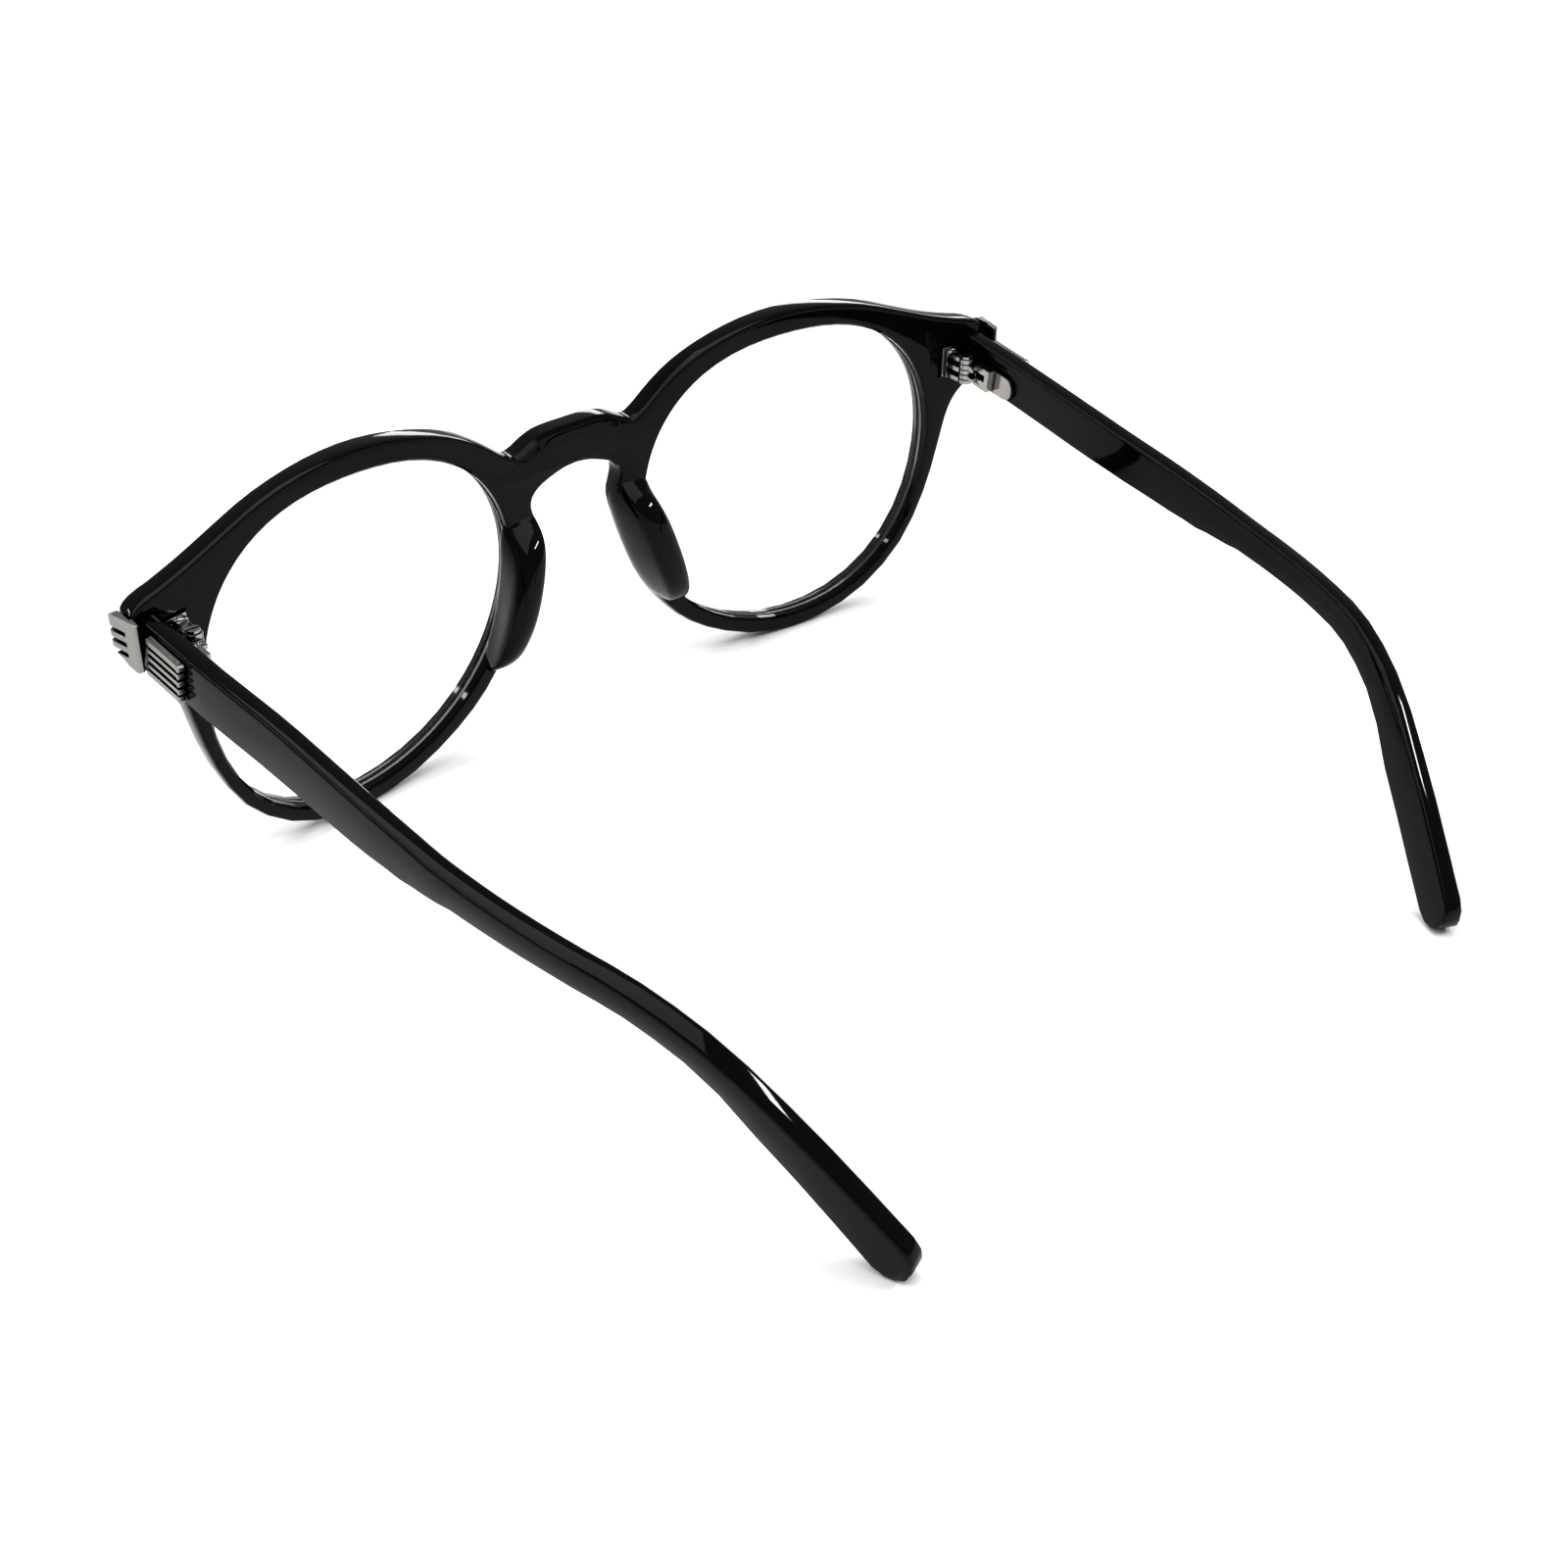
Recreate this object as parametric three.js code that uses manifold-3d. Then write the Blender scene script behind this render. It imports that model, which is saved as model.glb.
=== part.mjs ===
// Acetate eyeglasses with keyhole bridge, metal corner trims and five-knuckle hinges.
// Millimetres, +Z up, front faces -Y, +X is the wearer's left.
import * as THREE from 'three';
import { mergeVertices } from 'three/addons/utils/BufferGeometryUtils.js';
import Module from 'manifold-3d';

const wasm = await Module();
wasm.setup();

// ---- driving dimensions -------------------------------------------------
const FRONT_T = 3.56;          // thickness of the acetate front
const WRAP_RADIUS = 298;       // face-form curve of the front, seen from above
const LEAN = 0.0652;           // front leans back, radians
const Y_SHIFT = -61.14;        // centres the whole pair on Y = 0
const Z_SHIFT = 0.02;          // sets the lowest point of the rims on Z = 0
const LENS_CX = 35.94;         // lens centre from the middle of the bridge
const LENS_CV = 26.4;          // lens centre above the rim bottom
const LENS_R = 23.83;          // mean radius of the lens opening
const GROOVE = 0.8;            // depth of the lens groove
const EDGE = 0.75;             // rounding of the outer edges of the front
const GAP = 0.3;               // clearance between neighbouring pieces
const COLUMNS = 96;            // samples round one half of the front

const AXIS_X = 62.4;           // hinge axis from the middle
const AXIS_N = 14.2;           // hinge axis behind the front plane
const AXIS_V = 38.7;           // middle knuckle, height along the front
const KNUCKLE_R = 1.05;
const KNUCKLE_H = 0.62;
const KNUCKLE_PITCH = 0.78;
const SCREW_R = 0.45;
const BORE_R = 0.62;

const TEMPLE_T = 2.7;          // temple thickness
const TEMPLE_EDGE = 0.5;       // chamfer along the temple edges
const WIRE_R = 0.45;
const CHANNEL_R = 0.7;

// half outline of the front: across, height, matching direction from the lens centre in degrees
const OUTLINE = [
  [0, 44.5, 150.2], [2.6, 44.5, 150], [5, 44.3, 149.8], [7, 43.6, 149.5], [8.8, 42.7, 148.6],
  [10, 42.5, 147.4], [11.4, 43.3, 146], [14.4, 45.7, 141], [17.7, 47.8, 135.5], [22, 49.6, 127],
  [27.5, 51.1, 114], [33, 51.9, 100], [38.5, 51.9, 87], [44, 51.2, 74], [49.5, 49.9, 62],
  [54.5, 48.1, 52], [59.5, 46.3, 43], [64, 45, 36], [67, 44.3, 32], [68.5, 43.2, 29],
  [68.6, 41, 26], [68.4, 37.6, 21.5], [67.6, 35.4, 17.5], [65.9, 34.2, 14], [64.3, 32.4, 10],
  [63.2, 29.8, 5], [62.2, 25.5, -2], [60.1, 17.6, -20], [56.1, 9.5, -40], [49.3, 3.4, -60],
  [40.6, 0.5, -80], [31.6, 1, -100], [23.3, 4.3, -120], [17.3, 8.6, -137], [13.6, 13.1, -150],
  [11, 17.6, -162], [8.9, 22.9, -173], [7.4, 27.6, -182], [6.6, 31.2, -191], [7.1, 33.3, -196.5],
  [7.4, 34.8, -200.5], [6.9, 36.1, -204], [5.6, 37.1, -206.3], [3.6, 37.9, -207.8],
  [1.8, 38.42, -208.6], [0, 38.6, -209],
];

// temple: rearward, top edge height, outer face across, depth of the section, twist in degrees
const TEMPLE = [
  [14.6, 41.9, 67.5, 6.6, -3], [20, 41.1, 67.2, 6.6, -3], [27, 39.95, 66.8, 6.6, -3.2],
  [39.4, 38, 65.7, 6.6, -3], [47.7, 36.5, 65.2, 6.4, -2.5], [55.6, 35.1, 64.8, 6.15, -1.6],
  [62.5, 33.8, 64.3, 5.7, -0.3], [67.5, 32.75, 63.9, 4.9, 1.4], [72.1, 31.9, 63.3, 4.15, 3.2],
  [78, 31, 62.4, 4, 4.5], [85.1, 29.9, 60.9, 3.9, 4.9], [93.4, 28.2, 58.5, 3.9, 3.7],
  [101.7, 24, 55.2, 4.1, 0.5], [111.2, 15.3, 50.5, 5.5, -5], [120.6, 4.9, 45.6, 5.8, -11],
];

// nose pad: height, inner edge at the front, ridge inner, ridge outer, base outer, reach rearward
const PAD = [
  [33, 7.3, 7.6, 9.6, 11.4, 0.5], [32.2, 7.1, 7.6, 10.3, 11.8, 1.4], [31.4, 7, 7.8, 10.9, 12, 2.6],
  [30, 7.1, 8, 11.7, 12, 3.9], [28, 7.6, 8.7, 12.6, 11.9, 4.8], [25, 8.5, 9.4, 13.6, 12.1, 5.3],
  [21, 9.9, 10.5, 14.9, 12.8, 5.3], [18, 11.2, 11.8, 15.7, 13.9, 4.9],
  [15.6, 12.5, 13, 16.2, 15.1, 4.3], [14.3, 13.3, 13.6, 16.3, 15.8, 3.2],
];

const BLACK = 0x0c0c0d;
const STEEL = 0xb9bab7;

// ---- small helpers ------------------------------------------------------
/** front coordinates (across, height, depth) to the object frame */
function place(x, v, n) {
  const depth = n + (x * x) / (2 * WRAP_RADIUS);
  const y = depth * Math.cos(LEAN) + v * Math.sin(LEAN);
  const z = v * Math.cos(LEAN) - depth * Math.sin(LEAN);
  return new THREE.Vector3(x, y + Y_SHIFT, z + Z_SHIFT);
}

/** radius of the lens opening in a direction given in radians */
function lensRadius(a) {
  return LENS_R + 0.64 * Math.cos(2 * a) - 0.38 * Math.sin(2 * a)
    - 0.35 * Math.cos(3 * a) + 0.62 * Math.sin(3 * a) - 0.32 * Math.cos(4 * a);
}

function lensPoint(a, offset) {
  const r = lensRadius(a) + offset;
  return [LENS_CX + r * Math.cos(a), LENS_CV + r * Math.sin(a)];
}

function toGeometry(points, faces) {
  const flat = points.flatMap((p) => [p.x, p.y, p.z]);
  const g = new THREE.BufferGeometry();
  g.setAttribute('position', new THREE.Float32BufferAttribute(flat, 3));
  g.setIndex(faces);
  return mergeVertices(g, 1e-4);
}

/** closed rings of points joined one after the other, with a fan over both ends */
function loft(rings) {
  const m = rings[0].length;
  const points = rings.flat();
  const faces = [];
  for (let i = 0; i + 1 < rings.length; i += 1) {
    for (let j = 0; j < m; j += 1) {
      const a = i * m + j;
      const b = i * m + ((j + 1) % m);
      faces.push(a, b, b + m, a, b + m, a + m);
    }
  }
  for (const [start, flip] of [[0, true], [(rings.length - 1) * m, false]]) {
    const middle = new THREE.Vector3();
    for (let j = 0; j < m; j += 1) middle.addScaledVector(points[start + j], 1 / m);
    const c = points.push(middle) - 1;
    for (let j = 0; j < m; j += 1) {
      const a = start + j;
      const b = start + ((j + 1) % m);
      if (flip) faces.push(a, c, b);
      else faces.push(a, b, c);
    }
  }
  return outward(toGeometry(points, faces));
}

function volume(g) {
  const p = g.attributes.position;
  const index = g.index.array;
  let sum = 0;
  for (let i = 0; i < index.length; i += 3) {
    const a = new THREE.Vector3().fromBufferAttribute(p, index[i]);
    const b = new THREE.Vector3().fromBufferAttribute(p, index[i + 1]);
    const c = new THREE.Vector3().fromBufferAttribute(p, index[i + 2]);
    sum += a.dot(b.cross(c)) / 6;
  }
  return sum;
}

function outward(g) {
  if (volume(g) > 0) return g;
  const index = g.index.array;
  for (let i = 0; i < index.length; i += 3) {
    const keep = index[i];
    index[i] = index[i + 1];
    index[i + 1] = keep;
  }
  return g;
}

function solid(g) {
  const bare = g.clone();
  bare.deleteAttribute('normal');
  bare.deleteAttribute('uv');
  const joined = mergeVertices(bare, 1e-4);
  return new wasm.Manifold(new wasm.Mesh({
    numProp: 3,
    vertProperties: new Float32Array(joined.attributes.position.array),
    triVerts: new Uint32Array(joined.index.array),
  }));
}

function fromSolid(s) {
  const out = s.getMesh();
  const g = new THREE.BufferGeometry();
  g.setAttribute('position', new THREE.Float32BufferAttribute(out.vertProperties, 3));
  g.setIndex(Array.from(out.triVerts));
  return g;
}

function union(list) {
  return fromSolid(list.slice(1).reduce((s, g) => s.add(solid(g)), solid(list[0])));
}

function cut(g, cutters) {
  return fromSolid(cutters.reduce((s, c) => s.subtract(solid(c)), solid(g)));
}

function common(a, b) {
  return fromSolid(solid(a).intersect(solid(b)));
}

function box(x0, x1, y0, y1, z0, z1) {
  const g = new THREE.BoxGeometry(x1 - x0, y1 - y0, z1 - z0);
  return g.translate((x0 + x1) / 2, (y0 + y1) / 2, (z0 + z1) / 2);
}

/** cylinder along local Z from z0 to z1 */
function rod(r, z0, z1, sides = 16) {
  const g = new THREE.CylinderGeometry(r, r, z1 - z0, sides);
  return g.rotateX(Math.PI / 2).translate(0, 0, (z0 + z1) / 2);
}

/** cylinder along local X from x0 to x1, centred on (y, z) */
function pin(r, x0, x1, y, z, sides = 10) {
  const g = new THREE.CylinderGeometry(r, r, x1 - x0, sides);
  return g.rotateZ(Math.PI / 2).translate((x0 + x1) / 2, y, z);
}

function mirrored(g) {
  const m = g.clone().scale(-1, 1, 1);
  const index = m.index.array;
  for (let i = 0; i < index.length; i += 3) {
    const keep = index[i];
    index[i] = index[i + 1];
    index[i + 1] = keep;
  }
  return m;
}

function moved(g, matrix) {
  return g.clone().applyMatrix4(matrix);
}

// ---- front --------------------------------------------------------------
/** section of the rim: where it hangs from, offset along the face, depth */
const RIM_SECTION = [
  ['lens', GROOVE, 1.78], ['lens', 0, 1.2], ['lens', 0, 0.35], ['lens', 0.35, 0],
  ['edge', -EDGE, 0], ['edge', -EDGE * 0.3, EDGE * 0.3], ['edge', 0, EDGE],
  ['edge', 0, FRONT_T - EDGE], ['edge', -EDGE * 0.3, FRONT_T - EDGE * 0.3],
  ['edge', -EDGE, FRONT_T],
  ['lens', 0.35, FRONT_T], ['lens', 0, FRONT_T - 0.35], ['lens', 0, 2.36],
];
const FIRST_EDGE = 4;
const LAST_EDGE = 9;
const BRIDGE_COLUMNS = 4;

function frontColumns() {
  const curve = new THREE.CatmullRomCurve3(
    OUTLINE.map(([x, v, a]) => new THREE.Vector3(x, v, a)), false, 'centripetal');
  const columns = [];
  for (let i = 0; i < COLUMNS; i += 1) {
    const t = i / (COLUMNS - 1);
    const p = curve.getPoint(t);
    const q = curve.getPoint(Math.min(t + 1e-3, 1));
    const o = curve.getPoint(Math.max(t - 1e-3, 0));
    const d = new THREE.Vector2(q.x - o.x, q.y - o.y).normalize();
    if (i === 0 || i === COLUMNS - 1) d.set(i ? -1 : 1, 0);
    columns.push({ x: p.x, v: p.y, a: p.z, nx: -d.y, nv: d.x, edge: true });
  }
  return columns;
}

function rimPoint(column, [kind, offset, n]) {
  if (kind === 'lens') {
    const [x, v] = lensPoint((column.a * Math.PI) / 180, offset);
    return place(x, v, n);
  }
  if (!column.edge) return place(0, column.v, n);
  return place(Math.max(column.x + column.nx * offset, 0), column.v + column.nv * offset, n);
}

function frontFrame() {
  const columns = frontColumns();
  const last = columns[COLUMNS - 1];
  for (let k = 1; k <= BRIDGE_COLUMNS; k += 1) {
    const t = k / (BRIDGE_COLUMNS + 1);
    const low = last.v + EDGE;
    const high = columns[0].v - EDGE;
    columns.push({ x: 0, v: low + (high - low) * t, a: -209 - 0.8 * t, edge: false });
  }
  const m = RIM_SECTION.length;
  const points = columns.flatMap((c) => RIM_SECTION.map((s) => rimPoint(c, s)));
  const faces = [];
  for (let i = 0; i < columns.length; i += 1) {
    const k = (i + 1) % columns.length;
    for (let j = 0; j < m; j += 1) {
      const bridge = !(columns[i].edge && columns[k].edge);
      if (bridge && j >= FIRST_EDGE && j < LAST_EDGE) continue;
      const jj = (j + 1) % m;
      faces.push(i * m + j, i * m + jj, k * m + jj, i * m + j, k * m + jj, k * m + j);
    }
  }
  const half = faces.length;
  const count = points.length;
  for (let i = 0; i < count; i += 1) {
    points.push(new THREE.Vector3(-points[i].x, points[i].y, points[i].z));
  }
  for (let i = 0; i < half; i += 3) {
    faces.push(faces[i] + count, faces[i + 2] + count, faces[i + 1] + count);
  }
  return outward(toGeometry(points, faces));
}

// ---- lens, nose pad -----------------------------------------------------
/** one lens: bevelled edge riding in the groove, front surface gently domed */
function lens() {
  const steps = 72;
  const side = [
    [0.99, 1.25, -0.35], [0.75, 1.25, 0], [0.4, 1.25, 0], [0.4, -0.75, 0], [0.75, -0.75, 0],
  ];
  const dome = (f) => -0.9 * (1 - f * f);
  const ring = (f, offset, n) => {
    const list = [];
    for (let i = 0; i < steps; i += 1) {
      const a = (2 * Math.PI * i) / steps;
      const r = (lensRadius(a) + offset) * f;
      list.push(place(LENS_CX + r * Math.cos(a), LENS_CV + r * Math.sin(a), n));
    }
    return list;
  };
  const rings = [];
  for (const f of [0.02, 0.35, 0.7]) rings.push(ring(f, 0, 0.85 + dome(f)));
  rings.push(ring(1, -0.3, 0.95));
  rings.push(ring(1, -0.3, 1.5));
  rings.push(ring(1, GROOVE - 0.45, 1.78));
  rings.push(ring(1, -0.3, 2.06));
  rings.push(ring(1, -0.3, 2.6));
  for (const f of [0.7, 0.35, 0.02]) rings.push(ring(f, 0, 2.7 + dome(f)));
  return loft(rings);
}

function nosePad() {
  const base = FRONT_T + GAP * 0.7;
  const rings = PAD.map(([v, x0, x1, x2, x3, reach]) => {
    const top = FRONT_T + reach;
    const w = x2 - x1;
    const outline = [
      [x0, base], [x0 + (x1 - x0) * 0.6, base + (top - base) * 0.62],
      [x1, base + (top - base) * 0.85], [x1 + w * 0.25, top], [x1 + w * 0.7, top],
      [x2, base + (top - base) * 0.78], [(x2 + x3) / 2, base + (top - base) * 0.4], [x3, base],
    ];
    return outline.map(([x, n]) => place(x, v, n));
  });
  return loft(rings);
}

// ---- temple -------------------------------------------------------------
const templeCurve = new THREE.CatmullRomCurve3(
  TEMPLE.map(([y, z, x]) => new THREE.Vector3(x, y + Y_SHIFT, z)), false, 'centripetal');

/** position and directions of the temple section at t = 0 .. 1 along its top outer edge */
function station(t) {
  const s = t * (TEMPLE.length - 1);
  const i = Math.min(Math.floor(s), TEMPLE.length - 2);
  const f = s - i;
  const e = f * f * (3 - 2 * f);
  const height = TEMPLE[i][3] + (TEMPLE[i + 1][3] - TEMPLE[i][3]) * e;
  const twist = ((TEMPLE[i][4] + (TEMPLE[i + 1][4] - TEMPLE[i][4]) * f) * Math.PI) / 180;
  const along = templeCurve.getTangent(t);
  const level = new THREE.Vector3(-1, 0, 0);
  const drop = new THREE.Vector3().crossVectors(along, level).normalize();
  if (drop.z > 0) drop.negate();
  const side = new THREE.Vector3().crossVectors(along, drop).normalize();
  if (side.x > 0) side.negate();
  const down = drop.clone().multiplyScalar(Math.cos(twist)).addScaledVector(side, Math.sin(twist));
  const inward = side.clone().multiplyScalar(Math.cos(twist)).addScaledVector(drop, -Math.sin(twist));
  return { edge: templeCurve.getPoint(t), along, down, inward, height };
}

function sectionPoint(s, across, depth) {
  return s.edge.clone().addScaledVector(s.inward, across).addScaledVector(s.down, depth);
}

/** frame with X outward, Y along the temple and Z up, on the middle of the outer face */
function templeMatrix(t, across) {
  const s = station(t);
  const m = new THREE.Matrix4().makeBasis(
    s.inward.clone().negate(), s.along.clone(), s.down.clone().negate());
  return m.setPosition(sectionPoint(s, across, s.height / 2));
}

function templeRing(s, squeeze, shift) {
  const h = s.height * squeeze;
  const d0 = (s.height - h) / 2;
  const e = Math.min(TEMPLE_EDGE, h * 0.3);
  const list = [
    [0, e], [e, 0], [TEMPLE_T - e * 0.8, 0], [TEMPLE_T, e * 0.8],
    [TEMPLE_T, h - e * 0.8], [TEMPLE_T - e * 0.8, h], [e, h], [0, h - e],
  ];
  return list.map(([a, d]) => sectionPoint(s, a, d0 + d).addScaledVector(s.along, shift));
}

/** clamps the first ring onto the joint plane just behind the front */
function jointRing(s) {
  return templeRing(s, 1, 0).map((p) => {
    const depth = (p.x * p.x) / (2 * WRAP_RADIUS) + FRONT_T + GAP;
    const y = (depth + p.z * Math.sin(LEAN)) / Math.cos(LEAN) + Y_SHIFT;
    return new THREE.Vector3(p.x, y, p.z);
  });
}

function templeBody() {
  const steps = 34;
  const rings = [jointRing(station(0))];
  for (let i = 2; i <= steps; i += 1) rings.push(templeRing(station(i / steps), 1, 0));
  const end = station(1);
  for (const deg of [30, 55, 75]) {
    const a = (deg * Math.PI) / 180;
    rings.push(templeRing(end, Math.cos(a), (end.height / 2) * Math.sin(a)));
  }
  return loft(rings);
}

function templeTube(radius, t0, t1, steps, lead) {
  const rings = [];
  for (let i = 0; i <= steps; i += 1) {
    const s = station(t0 + ((t1 - t0) * i) / steps);
    const ring = [];
    for (let k = 0; k < 8; k += 1) {
      const a = (2 * Math.PI * (k + 0.5)) / 8;
      const p = sectionPoint(s, 1.1 + radius * Math.cos(a), s.height / 2 + radius * Math.sin(a));
      ring.push(p.addScaledVector(s.along, i === 0 ? lead : 0));
    }
    rings.push(ring);
  }
  return loft(rings);
}

// ---- trims --------------------------------------------------------------
const TRIM_T = 0.0766;         // where the temple trim is centred along the temple
const TRIM_LENGTH = 7.2;
const TRIM_RIBS = 5;
const RIB_PITCH = 1.06;

/** ribbed plate with a scalloped rear end, in the temple frame, outer face on +X */
function templeTrim() {
  const h = TRIM_LENGTH / 2;
  const parts = [box(0.2, 0.55, -h, h - 0.9, -2.6, 2.6)];
  for (let i = 0; i < TRIM_RIBS; i += 1) {
    const z = (i - (TRIM_RIBS - 1) / 2) * RIB_PITCH;
    const w = i % (TRIM_RIBS - 1) === 0 ? 0.36 : 0.26;
    parts.push(box(0.2, 0.95, -h, h - 0.3, z - w, z + w));
    parts.push(rod(w + 0.1, 0.2, 1.0, 10).rotateY(Math.PI / 2).translate(0, h - 0.35, z));
  }
  return union(parts);
}

const TRIM_PINS = [[-2.4, 1.7], [2.2, -1.7]];

/** metal corner of the front: flat plan wrapped round the end piece, three grooves outside */
function frontTrimFlat() {
  const plan = new THREE.Shape();
  plan.moveTo(68.95, 0.3);
  for (const [x, n] of [
    [69.7, 0.2], [70.1, 0.45], [70.1, 1], [69.8, 2.4], [69.45, 4], [69.3, 5], [69.15, 5.5],
    [68.85, 5.65], [68.6, 5.5], [68.6, 3.9], [68.95, 3.9],
  ]) plan.lineTo(x, n);
  const height = new THREE.ExtrudeGeometry(plan, { depth: 10, bevelEnabled: false });
  height.translate(0, 0, 34.6);
  const side = new THREE.Shape();
  side.moveTo(0, 38.9);
  for (const [n, v] of [
    [2.2, 37.9], [3.4, 37.1], [4.4, 36.8], [5.2, 36.9], [6, 37.5], [6, 43.2], [5, 43.4],
    [3.4, 43.5], [1.2, 43.5], [0, 43],
  ]) side.lineTo(n, v);
  const across = new THREE.ExtrudeGeometry(side, { depth: 5, bevelEnabled: false });
  across.applyMatrix4(new THREE.Matrix4().makeBasis(
    new THREE.Vector3(0, 1, 0), new THREE.Vector3(0, 0, 1), new THREE.Vector3(1, 0, 0)));
  across.translate(66.5, 0, 0);
  const grooves = [41.5, 40.1, 38.7].map((v) => box(69.25, 71, -1, 3.4, v - 0.3, v + 0.3));
  return cut(common(height, across), grooves);
}

const FRONT_PINS = [41.9, 38.6];

/** bends a flat (across, depth, height) geometry onto the wrapped and leaning front */
function wrapped(g) {
  const p = g.attributes.position;
  for (let i = 0; i < p.count; i += 1) {
    const q = place(p.getX(i), p.getZ(i), p.getY(i));
    p.setXYZ(i, q.x, q.y, q.z);
  }
  return g;
}

// ---- hinge --------------------------------------------------------------
/** hinge frame: origin on the middle knuckle, local Z along the pin */
const hingeMatrix = new THREE.Matrix4().makeRotationX(-LEAN);
hingeMatrix.setPosition(
  AXIS_X,
  AXIS_N * Math.cos(LEAN) + AXIS_V * Math.sin(LEAN) + Y_SHIFT,
  AXIS_V * Math.cos(LEAN) - AXIS_N * Math.sin(LEAN) + Z_SHIFT);

function knuckle(k, r) {
  const z = k * KNUCKLE_PITCH;
  return rod(r, z - KNUCKLE_H / 2, z + KNUCKLE_H / 2);
}

function bore() {
  return rod(BORE_R, -4, 4, 14);
}

/** leaf let into the back of the front, with the top, middle and bottom knuckles */
function frontLeaf() {
  const parts = [box(-0.95, 0.75, -3.7, -3.1, -2, 2)];
  for (const k of [-2, 0, 2]) {
    const z = k * KNUCKLE_PITCH;
    parts.push(knuckle(k, KNUCKLE_R));
    parts.push(box(-0.8, 0.6, -3.9, 0, z - KNUCKLE_H / 2, z + KNUCKLE_H / 2));
  }
  const arms = moved(cut(union(parts), [bore()]), hingeMatrix);
  return union([arms, wrapped(box(61.3, 64.1, 3, 4.1, 36.6, 41.1))]);
}

function frontPocket() {
  return wrapped(box(61, 64.4, 2.75, 5, 36.3, 41.4));
}

/** the temple runs inward and down from the square of the hinge pin */
const leafTilt = new THREE.Matrix4().makeRotationFromEuler(new THREE.Euler(-0.095, 0, 0.055));

/** forked leaf on the inner face of the temple, with a slot and a rounded end plate */
function templeLeaf() {
  const fork = union([
    box(0.5, 2.75, 1.3, 4.3, -1.8, 1.5),
    box(-0.5, 1.4, 0, 2, 0.5, 1.06),
    box(-0.5, 1.4, 0, 2, -1.06, -0.5),
    box(1.8, 2.75, 4, 6.4, -2.1, 1.3),
    rod(1.7, 1.8, 2.75, 20).rotateY(Math.PI / 2).translate(0, 6.4, -0.4),
  ]);
  const slot = box(-2, 1.6, 1.7, 3.5, -0.5, 0.5);
  const clear = box(-2, 1.6, -1, 1.35, -0.42, 0.42);
  const plate = moved(cut(fork, [slot, clear]), leafTilt);
  const parts = [plate, knuckle(-1, KNUCKLE_R), knuckle(1, KNUCKLE_R)];
  const reach = KNUCKLE_H / 2 + 0.14;
  const free = [-2, 0, 2].map((k) => rod(KNUCKLE_R + 0.25,
    k * KNUCKLE_PITCH - reach, k * KNUCKLE_PITCH + reach));
  return cut(union(parts), [bore(), ...free]);
}

function templePocket() {
  return moved(union([
    box(-1, 3, -0.5, 6.4, -2.35, 1.75),
    rod(1.95, -1, 3, 20).rotateY(Math.PI / 2).translate(0, 6.4, -0.4),
  ]), leafTilt);
}

function hingeScrew() {
  const head = cut(rod(0.85, 1.98, 2.3, 16), [box(-1, 1, -0.13, 0.13, 2.14, 2.5)]);
  return union([rod(SCREW_R, -2.05, 2.1, 12), head]);
}

// ---- assembly -----------------------------------------------------------
const group = new THREE.Group();
group.name = 'eyeglasses';

function add(name, geometry, color, roughness, metalness) {
  const flat = geometry.index ? geometry.toNonIndexed() : geometry;
  flat.deleteAttribute('normal');
  flat.deleteAttribute('uv');
  flat.computeVertexNormals();
  const material = new THREE.MeshStandardMaterial({ color, roughness, metalness });
  if (name.startsWith('lens')) {
    material.transparent = true;
    material.opacity = 0.25;
  }
  const mesh = new THREE.Mesh(flat, material);
  mesh.name = name;
  group.add(mesh);
}

const frontPinRods = FRONT_PINS.map((v) => wrapped(pin(0.45, 66.9, 68.65, 1.9, v)));
const frontPinHoles = FRONT_PINS.map((v) => wrapped(pin(0.65, 66.6, 69.5, 1.9, v)));
const pocket = frontPocket();
const openings = [pocket, ...frontPinHoles];
const front = cut(frontFrame(), [...openings, ...openings.map(mirrored)]);
add('front_frame', front, BLACK, 0.18, 0);

const trimSeat = templeMatrix(TRIM_T, 0);
const templeHoles = TRIM_PINS.map(([y, z]) => moved(pin(0.65, -1.3, 0.5, y, z), trimSeat));
const templeParts = {
  temple: cut(templeBody(), [
    templeTube(CHANNEL_R, 0, 0.86, 26, -1.5),
    moved(templePocket(), hingeMatrix),
    ...templeHoles,
  ]),
  temple_core_wire: templeTube(WIRE_R, 0.035, 0.853, 24, 0),
  temple_hinge_leaf: moved(templeLeaf(), hingeMatrix),
  hinge_screw: moved(hingeScrew(), hingeMatrix),
  front_hinge_leaf: frontLeaf(),
  temple_trim: moved(templeTrim(), trimSeat),
  temple_trim_pin_front: moved(pin(0.45, -1.1, 0.05, ...TRIM_PINS[0]), trimSeat),
  temple_trim_pin_rear: moved(pin(0.45, -1.1, 0.05, ...TRIM_PINS[1]), trimSeat),
  front_trim: wrapped(frontTrimFlat()),
  front_trim_pin_upper: frontPinRods[0],
  front_trim_pin_lower: frontPinRods[1],
  nose_pad: nosePad(),
  lens: lens(),
};

for (const [name, geometry] of Object.entries(templeParts)) {
  let look = [STEEL, 0.3, 1];
  if (['temple', 'nose_pad'].includes(name)) look = [BLACK, 0.18, 0];
  if (name === 'lens') look = [0xe8eeee, 0.03, 0];
  add(`${name}_left`, geometry, ...look);
  add(`${name}_right`, mirrored(geometry), ...look);
}

export default group;
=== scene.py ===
"""Looks for a pair of black acetate eyeglasses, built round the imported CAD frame. Metres, +Z up."""

from math import cos, radians, sin

import bpy
from mathutils import Matrix, Vector


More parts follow.
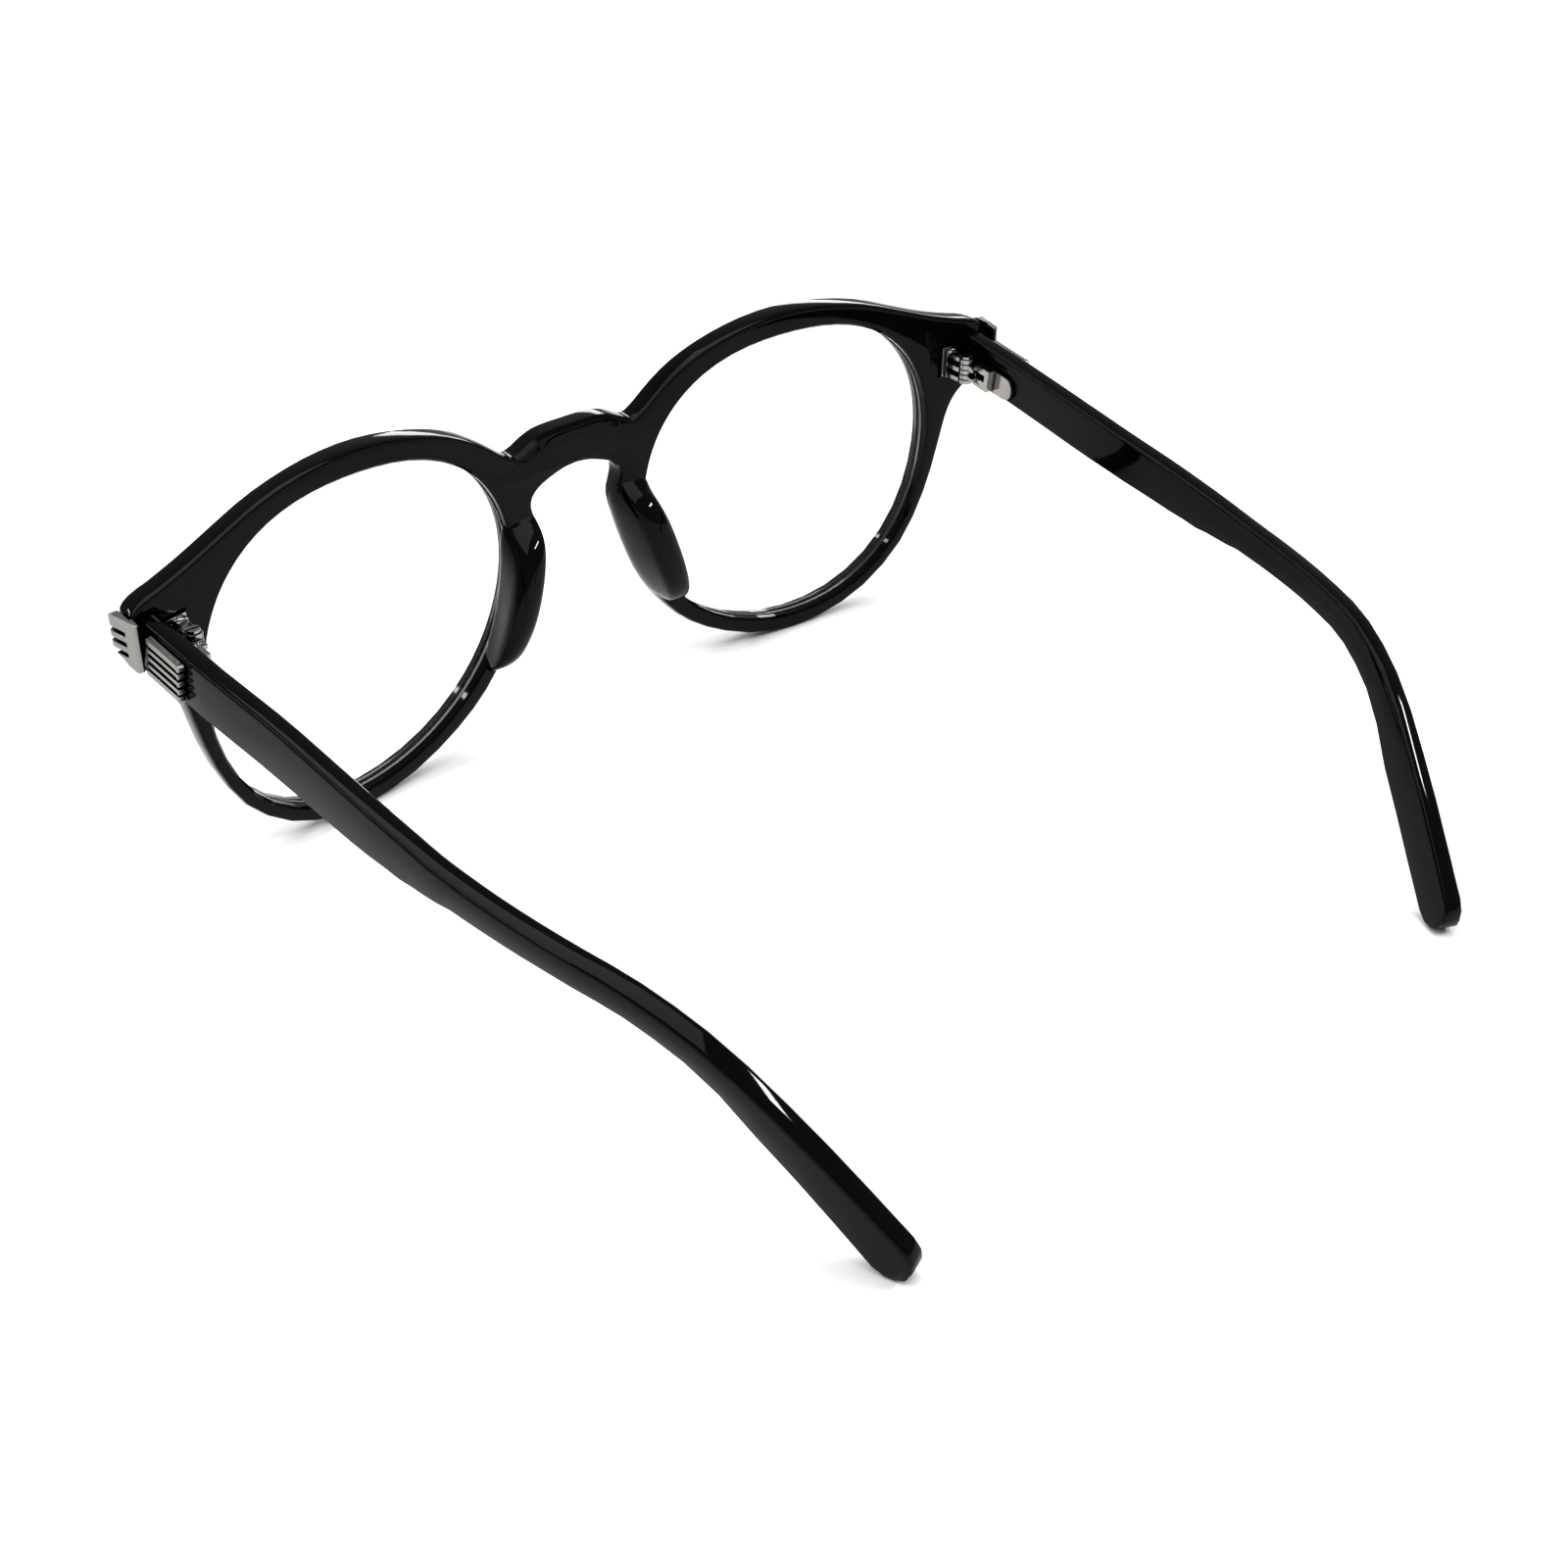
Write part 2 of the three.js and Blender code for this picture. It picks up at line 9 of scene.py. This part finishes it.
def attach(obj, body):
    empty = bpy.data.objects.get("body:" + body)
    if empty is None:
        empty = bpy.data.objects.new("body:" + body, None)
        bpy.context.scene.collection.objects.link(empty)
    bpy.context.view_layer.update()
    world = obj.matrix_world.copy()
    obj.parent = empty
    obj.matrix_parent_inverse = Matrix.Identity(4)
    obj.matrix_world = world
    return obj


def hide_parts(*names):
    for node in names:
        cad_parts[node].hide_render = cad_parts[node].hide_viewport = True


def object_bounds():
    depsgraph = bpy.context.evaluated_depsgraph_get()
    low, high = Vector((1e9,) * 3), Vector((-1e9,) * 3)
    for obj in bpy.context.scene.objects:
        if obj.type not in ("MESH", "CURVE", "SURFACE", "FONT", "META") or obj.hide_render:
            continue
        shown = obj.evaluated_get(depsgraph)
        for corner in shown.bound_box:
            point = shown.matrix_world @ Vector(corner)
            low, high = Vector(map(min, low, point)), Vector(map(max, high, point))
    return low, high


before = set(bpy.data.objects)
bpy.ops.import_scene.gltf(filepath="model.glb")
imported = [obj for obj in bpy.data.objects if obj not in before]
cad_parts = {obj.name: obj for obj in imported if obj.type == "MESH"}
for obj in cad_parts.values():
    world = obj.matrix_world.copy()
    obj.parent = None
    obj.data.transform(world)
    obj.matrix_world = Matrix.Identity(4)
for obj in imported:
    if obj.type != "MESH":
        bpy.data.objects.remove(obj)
cad_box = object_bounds()

# ---- Camera --------------------------------------------------------------------------
# A short tele view from behind the wearer's left, a little above the open temples. The
# camera is rolled slightly, so that the pair sits across the view on a falling line.
EYE = Vector((0.15709, 0.17970, 0.16147))
AIM = Vector((-0.00346, -0.01716, 0.00350))
ROLL = radians(-1.689)
FOCAL_MM = 51.77
SENSOR_MM = 36
NEAREST = 0.01

ahead = (AIM - EYE).normalized()
level = ahead.cross(Vector((0, 0, 1))).normalized()
above = level.cross(ahead)
across = level * cos(ROLL) + above * sin(ROLL)
upward = above * cos(ROLL) - level * sin(ROLL)
camera = bpy.data.objects.new("camera", bpy.data.cameras.new("camera"))
bpy.context.scene.collection.objects.link(camera)
turn_to_view = Matrix((across, upward, -ahead)).transposed().to_4x4()
camera.matrix_world = Matrix.Translation(EYE) @ turn_to_view
camera.data.lens = FOCAL_MM
camera.data.sensor_width = SENSOR_MM
camera.data.clip_start = NEAREST
bpy.context.scene.camera = camera

# ---- Studio --------------------------------------------------------------------------
# A matt white table top in a dim white room, under one broad soft lamp. Two strip lamps draw
# the bright lines along the polished edges, and a weak low card lights the top of the front.
FLOOR_SIZE = 2.0
FLOOR_GAP = 2e-5
FLOOR_WHITE = (0.92, 0.92, 0.92, 1)
FLOOR_ROUGHNESS = 0.7
ROOM_WHITE = (1.0, 1.0, 1.0, 1)
ROOM_STRENGTH = 0.36
BACKDROP_STRENGTH = 1.0
# Each lamp's place, the point it faces, its width, its height and its power in watts.
LAMPS = {
    "overhead": ((0.10, 0.05, 0.90), (0, 0, 0), 1.2, 1.2, 7.4),
    "rear_strip": ((-0.58, 0.52, 0.60), (0, -0.02, 0.02), 0.30, 0.06, 2.2),
    "side_strip": ((0.62, -0.40, 0.50), (0, 0, 0.02), 0.70, 0.035, 1.2),
    "low_card": ((-0.60, -0.62, 0.26), (-0.05, -0.05, 0.04), 0.40, 0.14, 0.7),
}


def plain_material(name):
    """A new node material, with its shader node."""
    material = bpy.data.materials.new(name)
    material.use_nodes = True
    return material, material.node_tree.nodes["Principled BSDF"]


def deselect():
    bpy.ops.object.select_all(action="DESELECT")


deselect()
bpy.ops.mesh.primitive_plane_add(size=FLOOR_SIZE, location=(0, 0, cad_box[0][2] - FLOOR_GAP))
floor = bpy.context.object
floor.name = "floor"
table_white, shader = plain_material("table_white")
shader.inputs["Base Color"].default_value = FLOOR_WHITE
shader.inputs["Roughness"].default_value = FLOOR_ROUGHNESS
floor.data.materials.append(table_white)

room = bpy.data.worlds.new("room")
room.use_nodes = True
sky = room.node_tree.nodes["Background"]
sky.inputs["Color"].default_value = ROOM_WHITE
seen = room.node_tree.nodes.new("ShaderNodeLightPath")
strength = room.node_tree.nodes.new("ShaderNodeMapRange")
strength.inputs["To Min"].default_value = ROOM_STRENGTH
strength.inputs["To Max"].default_value = BACKDROP_STRENGTH
room.node_tree.links.new(seen.outputs["Is Camera Ray"], strength.inputs["Value"])
room.node_tree.links.new(strength.outputs["Result"], sky.inputs["Strength"])
bpy.context.scene.world = room
bpy.context.scene.view_settings.view_transform = "Standard"
bpy.context.scene.view_settings.look = "High Contrast"

for lamp_name, (place, target, width, height, power) in LAMPS.items():
    lamp = bpy.data.lights.new(lamp_name, "AREA")
    lamp.shape = "RECTANGLE"
    lamp.size = width
    lamp.size_y = height
    lamp.energy = power
    holder = bpy.data.objects.new(lamp_name, lamp)
    bpy.context.scene.collection.objects.link(holder)
    facing = (Vector(target) - Vector(place)).to_track_quat("-Z", "Y")
    holder.matrix_world = Matrix.Translation(place) @ facing.to_matrix().to_4x4()

# ---- Front ---------------------------------------------------------------------------
# The rims, bridge and end pieces, milled from one sheet of black cellulose acetate, tumbled
# and polished by hand, with a lens groove cut round each opening. The upper back edge of the
# bridge is filed to a wider chamfer.
POLISH_WIDTH = 0.00016
SHARP = radians(32)
FACE_ANGLE = radians(62)
WELD_GAP = 2e-6
SLIVER = 1e-6
QUAD_FACE_ANGLE = radians(25)
QUAD_SHAPE_ANGLE = radians(60)

ACETATE_BLACK = (0.0025, 0.0025, 0.0028, 1)
ACETATE_INK = (0.0045, 0.0045, 0.005, 1)
ACETATE_IOR = 1.49
ACETATE_SHINE = 0.22
ACETATE_ROUGHNESS = (0.03, 0.07)
CLOUD_SCALE = 90.0
CLOUD_RANGE = (0.35, 0.75)
RUB_SCALE = 900.0
RUB_STRENGTH = 0.02
RUB_DEPTH = 0.0001

# The front leans back, and it is wrapped round the face. The shift is from the middle of its
# front face, at the level of the table, to the frame's origin.
LEAN = 0.0652
WRAP = 0.298
FRONT_SHIFT = Vector((0, -0.06114, 0.00002))

# The filed edge of the bridge, in millimetres on the front. Its lower row of points goes in by
# the first amount, and its middle row by the second.
BRIDGE_LOW = 41.0
BRIDGE_HALF = 10.5
BRIDGE_FADE = 2.0
BACK_FACE = 3.5
MIDDLE_ROW = (3.25, 3.45)
FILED = (0.75, 0.3)


def add_node(nodes, kind, place, **values):
    """A new node at a place on the sheet, with its input sockets' values set by name."""
    node = nodes.new(kind)
    node.location = place
    for socket, value in values.items():
        node.inputs[socket.replace("_", " ")].default_value = value
    return node


def add_range(nodes, place, lowest, highest):
    """A node that spreads a pattern of 0 to 1 between two values."""
    return add_node(nodes, "ShaderNodeMapRange", place, To_Min=lowest, To_Max=highest)


def add_ramp(nodes, place, stops):
    """A colour ramp with two stops, each a position and a colour."""
    ramp = nodes.new("ShaderNodeValToRGB")
    ramp.location = place
    for element, (position, colour) in zip(ramp.color_ramp.elements, stops):
        element.position = position
        element.color = colour
    return ramp


def polished_acetate(name, flow=(1, 1, 1)):
    """Black polished acetate: faint cloudiness of colour, a patchy polish and hairline rubs."""
    material, shader = plain_material(name)
    nodes = material.node_tree.nodes
    links = material.node_tree.links
    place = add_node(nodes, "ShaderNodeTexCoord", (-1100, 0))

    cloud = add_node(nodes, "ShaderNodeTexNoise", (-800, 250), Scale=CLOUD_SCALE, Detail=3.0)
    links.new(place.outputs["Object"], cloud.inputs["Vector"])
    stops = zip(CLOUD_RANGE, (ACETATE_BLACK, ACETATE_INK))
    tint = add_ramp(nodes, (-520, 300), stops)
    links.new(cloud.outputs["Fac"], tint.inputs["Fac"])
    links.new(tint.outputs["Color"], shader.inputs["Base Color"])
    polish = add_range(nodes, (-520, 0), *ACETATE_ROUGHNESS)
    links.new(cloud.outputs["Fac"], polish.inputs["Value"])
    links.new(polish.outputs["Result"], shader.inputs["Roughness"])

    stretch = add_node(nodes, "ShaderNodeMapping", (-900, -300), Scale=flow)
    links.new(place.outputs["Object"], stretch.inputs["Vector"])
    rubs = add_node(nodes, "ShaderNodeTexNoise", (-700, -300), Scale=RUB_SCALE, Detail=2.0)
    links.new(stretch.outputs["Vector"], rubs.inputs["Vector"])
    bump = add_node(nodes, "ShaderNodeBump", (-400, -300), Strength=RUB_STRENGTH, Distance=RUB_DEPTH)
    links.new(rubs.outputs["Fac"], bump.inputs["Height"])
    links.new(bump.outputs["Normal"], shader.inputs["Normal"])

    shader.inputs["IOR"].default_value = ACETATE_IOR
    shader.inputs["Specular IOR Level"].default_value = ACETATE_SHINE
    return material


def pick(piece):
    """Makes a piece the only one selected, and the active one."""
    deselect()
    piece.select_set(True)
    bpy.context.view_layer.objects.active = piece


def merged_copy(node, name):
    """A copy of a CAD node as one joined mesh of quads, at the origin."""
    piece = bpy.data.objects.new(name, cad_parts[node].data.copy())
    bpy.context.scene.collection.objects.link(piece)
    piece.data.materials.clear()
    pick(piece)
    bpy.ops.object.mode_set(mode="EDIT")
    bpy.ops.mesh.select_all(action="SELECT")
    bpy.ops.mesh.customdata_custom_splitnormals_clear()
    bpy.ops.mesh.remove_doubles(threshold=WELD_GAP)
    bpy.ops.mesh.dissolve_degenerate(threshold=SLIVER)
    bpy.ops.mesh.tris_convert_to_quads(face_threshold=QUAD_FACE_ANGLE, shape_threshold=QUAD_SHAPE_ANGLE)
    bpy.ops.object.mode_set(mode="OBJECT")
    return piece


def smooth_faces(piece):
    """Shades a piece round over its edges' chamfers, and keeps its broad faces flat."""
    pick(piece)
    bpy.ops.object.shade_smooth_by_angle(angle=FACE_ANGLE)
    even = piece.modifiers.new("even", "WEIGHTED_NORMAL")
    even.keep_sharp = True
    bpy.ops.object.modifier_apply(modifier=even.name)


def soften_edges(piece, width, segments=3, angle=SHARP):
    """Rounds a piece's sharp edges, as a polishing wheel does, and shades the rest smooth."""
    pick(piece)
    bevel = piece.modifiers.new("polish", "BEVEL")
    bevel.width = width
    bevel.segments = segments
    bevel.limit_method = "ANGLE"
    bevel.angle_limit = angle
    bevel.miter_outer = "MITER_ARC"
    bpy.ops.object.modifier_apply(modifier=bevel.name)
    smooth_faces(piece)


def on_front(x, height, depth, turn=1):
    """A point given in millimetres across, up and behind the wrapped front, in the frame's metres."""
    x = x / 1000
    height = height / 1000
    depth = depth / 1000 + x ** 2 / (2 * WRAP)
    back = depth * cos(LEAN) + height * sin(LEAN)
    up = height * cos(LEAN) - depth * sin(LEAN)
    return Vector((turn * x, back, up)) + FRONT_SHIFT


def front_place(point):
    """Millimetres across, up and behind the wrapped front, for a point in the frame's metres."""
    x, y, z = (point - FRONT_SHIFT) * 1000
    height = z * cos(LEAN) + y * sin(LEAN)
    depth = y * cos(LEAN) - z * sin(LEAN)
    return Vector((x, height, depth - x * x / (2000 * WRAP)))


def file_bridge(piece):
    """Widens the chamfer along the bridge's upper back edge, as a file does before polishing."""
    places = [front_place(vertex.co) for vertex in piece.data.vertices]
    back_face = [i for i, place in enumerate(places) if place.z > BACK_FACE]
    middle_row = [
        i for i, place in enumerate(places)
        if MIDDLE_ROW[0] < place.z < MIDDLE_ROW[1]
        and place.y > BRIDGE_LOW
        and abs(place.x) < BRIDGE_HALF
    ]
    moves = {}
    for i in middle_row:
        foot = min(back_face, key=lambda j: (places[j] - places[i]).length)
        inward = (places[foot] - places[i]) * Vector((1, 1, 0))
        fade = min(1, (BRIDGE_HALF - abs(places[i].x)) / BRIDGE_FADE)
        inward = inward.normalized() * fade
        moves[foot] = inward * FILED[0]
        moves[i] = inward * FILED[1]
    for i, move in moves.items():
        piece.data.vertices[i].co = on_front(*(places[i] + move))


front = merged_copy("front_frame", "acetate_front")
file_bridge(front)
soften_edges(front, POLISH_WIDTH)
front.data.materials.append(polished_acetate("acetate_front_black"))
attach(front, "front")
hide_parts("front_frame")

# ---- Nose pads -----------------------------------------------------------------------
# Solid acetate pads, bonded to the back of the front on both sides of the bridge and
# polished over, so that each grows out of the rim's nose edge with no seam.
PAD_ROOT = 1.5
PAD_FRONT = 0.45
PAD_WALL = 1.2
PAD_BACK = 3.56
PAD_POINTS = 11
PAD_SMOOTHING = 3
# Level sections in millimetres on the front: height, the rim's nose edge, the pad's ridge, its
# far side, its base on the lens side, its reach behind the front, and how proud it stands.
PAD_ROWS = (
    (33.6, 7.20, 7.6, 9.5, 11.6, -0.3, -0.3),
    (32.7, 7.00, 7.5, 10.2, 12.0, 0.7, 0.0),
    (31.6, 6.80, 7.5, 11.0, 12.3, 2.3, 0.25),
    (30.2, 6.85, 7.7, 11.8, 12.5, 3.7, 0.35),
    (28.0, 7.35, 8.3, 12.7, 12.6, 4.7, 0.4),
    (25.0, 8.30, 9.1, 13.7, 12.8, 5.3, 0.4),
    (21.0, 9.70, 10.2, 15.0, 13.6, 5.4, 0.45),
    (18.0, 11.0, 11.4, 15.9, 14.6, 5.0, 0.5),
    (15.6, 12.3, 12.5, 16.5, 15.6, 4.3, 0.5),
    (14.0, 13.2, 13.4, 16.7, 16.2, 3.1, 0.4),
    (12.8, 14.1, 14.3, 16.6, 16.4, 1.2, 0.1),
    (12.2, 14.6, 14.9, 16.4, 16.4, -0.3, -0.2),
)


def pad_ring(height, edge, ridge, far, base, reach, proud, turn):
    """One level section through a pad, from the rim's nose edge round to the lens side."""
    top = PAD_BACK + reach
    width = far - ridge
    outline = (
        (edge + 0.25, PAD_FRONT),
        (edge - proud, PAD_WALL),
        (edge - proud, PAD_BACK - 0.6),
        (edge * 0.6 + ridge * 0.4, PAD_BACK + reach * 0.55),
        (ridge, PAD_BACK + reach * 0.88),
        (ridge + width * 0.3, top),
        (ridge + width * 0.75, top),
        (far, PAD_BACK + reach * 0.75),
        ((far + base) / 2, PAD_BACK + reach * 0.35),
        (base, PAD_BACK - 0.5),
        (base - 0.2, PAD_ROOT),
    )
    return [on_front(x, height, depth, turn) for x, depth in outline]


pad_black = polished_acetate("acetate_pad_black")
for side, turn in (("left", 1), ("right", -1)):
    deselect()
    bpy.ops.mesh.primitive_circle_add(vertices=PAD_POINTS, radius=0.001)
    pad = bpy.context.object
    pad.name = f"acetate_nose_pad_{side}"
    bpy.ops.object.mode_set(mode="EDIT")
    bpy.ops.mesh.edge_face_add()
    for row in PAD_ROWS[1:]:
        bpy.ops.mesh.extrude_region_move(TRANSFORM_OT_translate={"value": (0, 0, 0.001)})
    bpy.ops.object.mode_set(mode="OBJECT")
    points = [point for row in PAD_ROWS for point in pad_ring(*row, turn)]
    for vertex, point in zip(pad.data.vertices, points):
        vertex.co = point
    bpy.ops.object.mode_set(mode="EDIT")
    bpy.ops.mesh.select_all(action="SELECT")
    bpy.ops.mesh.normals_make_consistent(inside=False)
    bpy.ops.object.mode_set(mode="OBJECT")
    rounded = pad.modifiers.new("rounded", "SUBSURF")
    rounded.levels = PAD_SMOOTHING
    rounded.render_levels = PAD_SMOOTHING
    bpy.ops.object.modifier_apply(modifier=rounded.name)
    bpy.ops.object.shade_smooth()
    pad.data.materials.append(pad_black)
    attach(pad, "front")
    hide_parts(f"nose_pad_{side}")

# ---- Lenses --------------------------------------------------------------------------
# Clear demonstration lenses of cast resin, edged with a bevel that rides in the groove, with a
# coating that leaves only a faint reflection; at a slant a whitish veil of reflection is painted on.
LENS_EDGE = 0.00008
LENS_TINT = (0.96, 0.98, 0.975, 1)
LENS_IOR = 1.5
LENS_PAINTED_REFLECTION = (0.01, 0.22)
LENS_ROUGHNESS = (0.01, 0.05)
SMEAR_SCALE = 60.0


def clear_resin(name):
    """Coated resin: nearly clear face on, a painted reflection at a slant as the white body shows more,
    faint smears.
    """
    material, shader = plain_material(name)
    nodes = material.node_tree.nodes
    links = material.node_tree.links
    shader.inputs["Base Color"].default_value = LENS_TINT
    shader.inputs["IOR"].default_value = LENS_IOR
    # Painted reflection: the lens grows more opaque at a slant, so that its white body shows as a veil.
    slant = add_node(nodes, "ShaderNodeLayerWeight", (-700, -200), Blend=0.25)
    painted_reflection = add_range(nodes, (-450, -200), *LENS_PAINTED_REFLECTION)
    links.new(slant.outputs["Fresnel"], painted_reflection.inputs["Value"])
    links.new(painted_reflection.outputs["Result"], shader.inputs["Alpha"])
    place = add_node(nodes, "ShaderNodeTexCoord", (-900, 200))
    smear = add_node(nodes, "ShaderNodeTexNoise", (-700, 200), Scale=SMEAR_SCALE, Detail=2.0)
    links.new(place.outputs["Object"], smear.inputs["Vector"])
    clean = add_range(nodes, (-450, 200), *LENS_ROUGHNESS)
    links.new(smear.outputs["Fac"], clean.inputs["Value"])
    links.new(clean.outputs["Result"], shader.inputs["Roughness"])
    return material


lens_clear = clear_resin("lens_clear")
for side in ("left", "right"):
    lens = merged_copy(f"lens_{side}", f"clear_lens_{side}")
    soften_edges(lens, LENS_EDGE, 2)
    lens.data.materials.append(lens_clear)
    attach(lens, "front")
    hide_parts(f"lens_{side}")

# ---- Front trims ---------------------------------------------------------------------
# Cast nickel corner pieces that wrap the ends of the front, pinned from behind, with three
# grooves across the side and a satin finish, with shade painted dark into the hollows.
CORNER_EDGE = 0.00022
CORNER_SHARP = radians(20)
NICKEL = (0.28, 0.275, 0.263, 1)
# The colour, reach and spread of the shade painted into the metal's hollows.
PAINTED_HOLLOW_SHADE = (0.02, 0.02, 0.02, 1)
PAINTED_SHADE_REACH = 0.0009
PAINTED_SHADE_RANGE = (0.35, 0.8)
GRAIN_SCALE = 2600.0
GRAIN_DEPTH = 0.00005


def satin_metal(name, colour, rough=(0.22, 0.36), grain=(1, 1, 1), strength=0.08):
    """Plated metal: shade painted dark into the hollows, fine drawn grain, and a shine that varies
    across the part.
    """
    material, shader = plain_material(name)
    nodes = material.node_tree.nodes
    links = material.node_tree.links
    shader.inputs["Metallic"].default_value = 1.0

    # Painted shade: the colour goes dark where the surface is hemmed in by nearby metal, in grooves and
    # between ribs and knuckles.
    hollow = add_node(nodes, "ShaderNodeAmbientOcclusion", (-1100, 350), Distance=PAINTED_SHADE_REACH)
    hollow.only_local = True
    painted_shade = add_ramp(nodes, (-800, 350), zip(PAINTED_SHADE_RANGE, (PAINTED_HOLLOW_SHADE, colour)))
    links.new(hollow.outputs["AO"], painted_shade.inputs["Fac"])
    links.new(painted_shade.outputs["Color"], shader.inputs["Base Color"])

    place = add_node(nodes, "ShaderNodeTexCoord", (-1100, 0))
    stretch = add_node(nodes, "ShaderNodeMapping", (-900, 0), Scale=grain)
    links.new(place.outputs["Object"], stretch.inputs["Vector"])
    drawn = add_node(nodes, "ShaderNodeTexNoise", (-700, 0), Scale=GRAIN_SCALE, Detail=2.0)
    links.new(stretch.outputs["Vector"], drawn.inputs["Vector"])
    shine = add_range(nodes, (-450, 100), *rough)
    links.new(drawn.outputs["Fac"], shine.inputs["Value"])
    links.new(shine.outputs["Result"], shader.inputs["Roughness"])
    bump = add_node(nodes, "ShaderNodeBump", (-450, -200), Strength=strength, Distance=GRAIN_DEPTH)
    links.new(drawn.outputs["Fac"], bump.inputs["Height"])
    links.new(bump.outputs["Normal"], shader.inputs["Normal"])
    return material


satin_nickel = satin_metal("satin_nickel", NICKEL, grain=(1, 0.08, 1))
for side in ("left", "right"):
    trim = merged_copy(f"front_trim_{side}", f"corner_trim_{side}")
    soften_edges(trim, CORNER_EDGE, 4, CORNER_SHARP)
    trim.data.materials.append(satin_nickel)
    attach(trim, "front")
    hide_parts(f"front_trim_{side}")

# ---- Hinge leaves on the front -------------------------------------------------------
# Pressed steel leaves with three of the five knuckles, each sunk with heat into a pocket in
# the back of the end piece. Their edges are only tumbled, so they stay crisp.
HINGE_EDGE = 0.00007
STEEL = (0.36, 0.35, 0.335, 1)
STEEL_ROUGHNESS = (0.10, 0.20)

# The steel also has shade painted dark into its hollows, between the knuckles.
bright_steel = satin_metal("bright_steel", STEEL, STEEL_ROUGHNESS, (1, 1, 0.1), 0.04)
for side in ("left", "right"):
    leaf = merged_copy(f"front_hinge_leaf_{side}", f"hinge_leaf_front_{side}")
    soften_edges(leaf, HINGE_EDGE, 2)
    leaf.data.materials.append(bright_steel)
    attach(leaf, "front")
    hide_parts(f"front_hinge_leaf_{side}")

# ---- Temples -------------------------------------------------------------------------
# The side arms, cut from black acetate sheet with a steel wire shot down the middle, bent
# down behind the ear and polished. The rubs of the polishing wheel run along them.
ALONG_TEMPLE = (1, 0.15, 1)

temple_black = polished_acetate("acetate_temple_black", ALONG_TEMPLE)
for side in ("left", "right"):
    temple = merged_copy(f"temple_{side}", f"acetate_temple_{side}")
    smooth_faces(temple)
    temple.data.materials.append(temple_black)
    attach(temple, f"{side}_temple")
    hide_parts(f"temple_{side}")

# ---- Hinge leaves on the temples -----------------------------------------------------
# Pressed steel leaves with the other two knuckles, a slotted block and a thin plate with a
# round end, each sunk into the inner face of its temple.
for side in ("left", "right"):
    leaf = merged_copy(f"temple_hinge_leaf_{side}", f"hinge_leaf_temple_{side}")
    soften_edges(leaf, HINGE_EDGE, 2)
    leaf.data.materials.append(bright_steel)
    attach(leaf, f"{side}_temple")
    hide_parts(f"temple_hinge_leaf_{side}")

# ---- Temple trims --------------------------------------------------------------------
# Cast nickel plates with ribs along them, in line with the corner pieces' grooves, each held
# by two pins on the outside of its temple.
RIB_EDGE = 0.00012

for side in ("left", "right"):
    trim = merged_copy(f"temple_trim_{side}", f"ribbed_trim_{side}")
    soften_edges(trim, RIB_EDGE, 3)
    trim.data.materials.append(satin_nickel)
    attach(trim, f"{side}_temple")
    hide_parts(f"temple_trim_{side}")

# ---- Screws, pins and core wires -----------------------------------------------------
# The turned screws that the hinges fold on, the trims' pins and the temples' core wires have
# the right shape in the frame already. They are steel, and little of them shows.
for node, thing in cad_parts.items():
    if not thing.hide_render:
        for slot in thing.material_slots:
            slot.material = bright_steel
